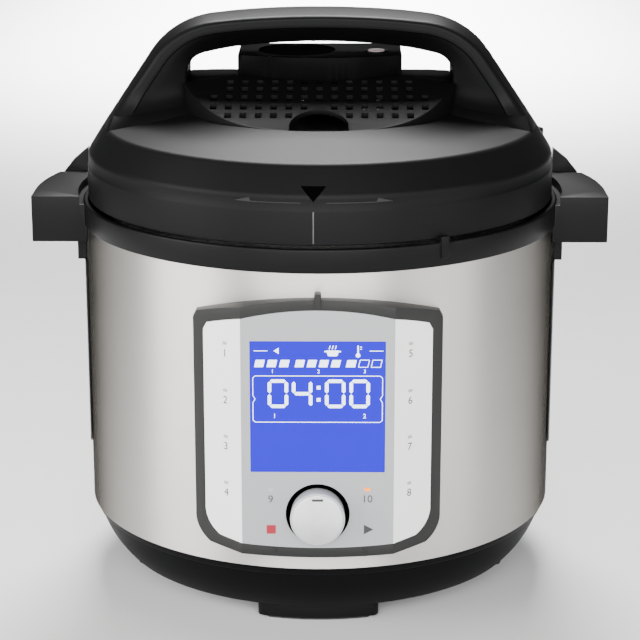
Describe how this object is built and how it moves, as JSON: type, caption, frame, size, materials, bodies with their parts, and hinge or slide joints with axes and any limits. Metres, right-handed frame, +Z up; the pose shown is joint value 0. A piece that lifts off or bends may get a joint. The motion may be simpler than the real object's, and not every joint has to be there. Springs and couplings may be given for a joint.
{
  "type": "electric pressure cooker",
  "caption": "Round electric pressure cooker: steel-wrapped body, faceted display panel with a dial, bayonet lid with an arched handle, steam valves and inner pot.",
  "frame": {"origin": "on the table, on the cooker's vertical axis, under the feet", "axes": "+Z up, the control panel faces -Y, +X to the viewer's right when facing the panel"},
  "size_m": [0.331, 0.304, 0.3303],
  "materials": {
    "black_plastic": "satin black moulded plastic",
    "gloss_black": "polished black plastic",
    "foot_rubber": "soft black rubber",
    "brushed_wrap": "satin steel brushed round the body",
    "pot_steel": "drawn stainless steel",
    "screw_steel": "bright zinc plate",
    "heater_metal": "machined aluminium",
    "sensor_plastic": "heat-resistant off-white plastic",
    "panel_film": "silver and white printed film",
    "display_glass": "clear window over a blue backlit display",
    "display_blue": "blue backlight",
    "circuit_board": "green circuit board",
    "dial_grey": "silver-grey plastic",
    "dial_metal": "spun aluminium",
    "clear_cup": "clear smoky plastic",
    "silicone": "translucent silicone"
  },
  "bodies": {
    "base": {"base_shell": "black_plastic", "bottom_cover": "black_plastic", "bottom_screws": "screw_steel", "feet": "black_plastic", "foot_pads": "foot_rubber", "power_board": "circuit_board", "board_standoffs": "black_plastic", "power_relay": "circuit_board", "steel_wrap": "brushed_wrap", "top_ring": "black_plastic", "outer_vessel": "pot_steel", "heating_plate": "heater_metal", "heater_posts": "screw_steel", "heater_terminals": "screw_steel", "sensor_holder": "sensor_plastic", "sensor_spring": "screw_steel", "panel_bezel": "gloss_black", "panel_overlay": "panel_film", "display_window": "display_glass", "display_module": "display_blue", "display_spacers": "black_plastic", "control_board": "circuit_board", "encoder_body": "sensor_plastic", "side_handle_left": "black_plastic", "side_handle_right": "black_plastic", "handle_screws": "screw_steel", "cup_bracket": "black_plastic", "power_inlet": "black_plastic", "inlet_pins": "screw_steel"},
    "sensor": {"temperature_sensor": "heater_metal"},
    "dial_rotor": {"encoder_rotor": "sensor_plastic"},
    "dial": {"dial_shaft": "dial_metal", "control_dial": "dial_grey", "dial_cap": "dial_metal"},
    "cup": {"condensation_cup": "clear_cup"},
    "cooking_pot": {"inner_pot": "pot_steel"},
    "seal": {"sealing_ring": "silicone"},
    "lid": {"lid_shell": "black_plastic", "handle_frame": "black_plastic", "handle_cap": "black_plastic", "valve_housing": "gloss_black", "lid_plate": "pot_steel", "seal_rack": "pot_steel", "lid_screws": "screw_steel", "steam_pipe": "pot_steel", "pipe_shield": "pot_steel", "button_spring": "screw_steel", "float_guide": "silicone"},
    "release_button": {"release_button": "black_plastic"},
    "steam_valve": {"valve_weight": "screw_steel"},
    "float_valve": {"float_pin": "dial_metal", "float_seal": "silicone"},
    "diffuser": {"diffuser_cover": "black_plastic"}
  },
  "joints": [
    {"name": "sensor_press", "type": "slide", "parent": "base", "child": "sensor", "axis": [0, 0, -1], "range_m": [0, 0.0015], "stiffness_N_per_m": 400, "deforming": ["sensor_spring"]},
    {"name": "dial_turn", "type": "hinge", "parent": "base", "child": "dial_rotor", "pos_m": [0, -0.1215, 0.0765], "axis": [0, -1, 0], "continuous": true},
    {"name": "dial_press", "type": "slide", "parent": "dial_rotor", "child": "dial", "axis": [0, 1, 0], "range_m": [0, 0.001], "stiffness_N_per_m": 1500},
    {"name": "cup_pull", "type": "slide", "parent": "base", "child": "cup", "axis": [0, 1, 0], "range_m": [0, 0.03]},
    {"name": "pot_lift", "type": "slide", "parent": "base", "child": "cooking_pot", "axis": [0, 0, 1], "range_m": [0, 0.18]},
    {"name": "lid_lift", "type": "slide", "parent": "cooking_pot", "child": "seal", "axis": [0, 0, 1], "range_m": [0, 0.12]},
    {"name": "lid_turn", "type": "hinge", "parent": "seal", "child": "lid", "pos_m": [0, 0, 0.224], "axis": [0, 0, 1], "range_deg": [0, 30]},
    {"name": "release_press", "type": "slide", "parent": "lid", "child": "release_button", "axis": [0, 0, -1], "range_m": [0, 0.003], "stiffness_N_per_m": 900, "deforming": ["button_spring"]},
    {"name": "valve_lift", "type": "slide", "parent": "lid", "child": "steam_valve", "axis": [0, 0, 1], "range_m": [0, 0.003]},
    {"name": "float_rise", "type": "slide", "parent": "lid", "child": "float_valve", "axis": [0, 0, 1], "range_m": [0, 0.004]},
    {"name": "diffuser_pull", "type": "slide", "parent": "lid", "child": "diffuser", "axis": [0, -0.866, 0.5], "range_m": [0, 0.051]}
  ],
  "couplings": [
    {"joint": "valve_lift", "follows": "release_press", "ratio": 1}
  ]
}
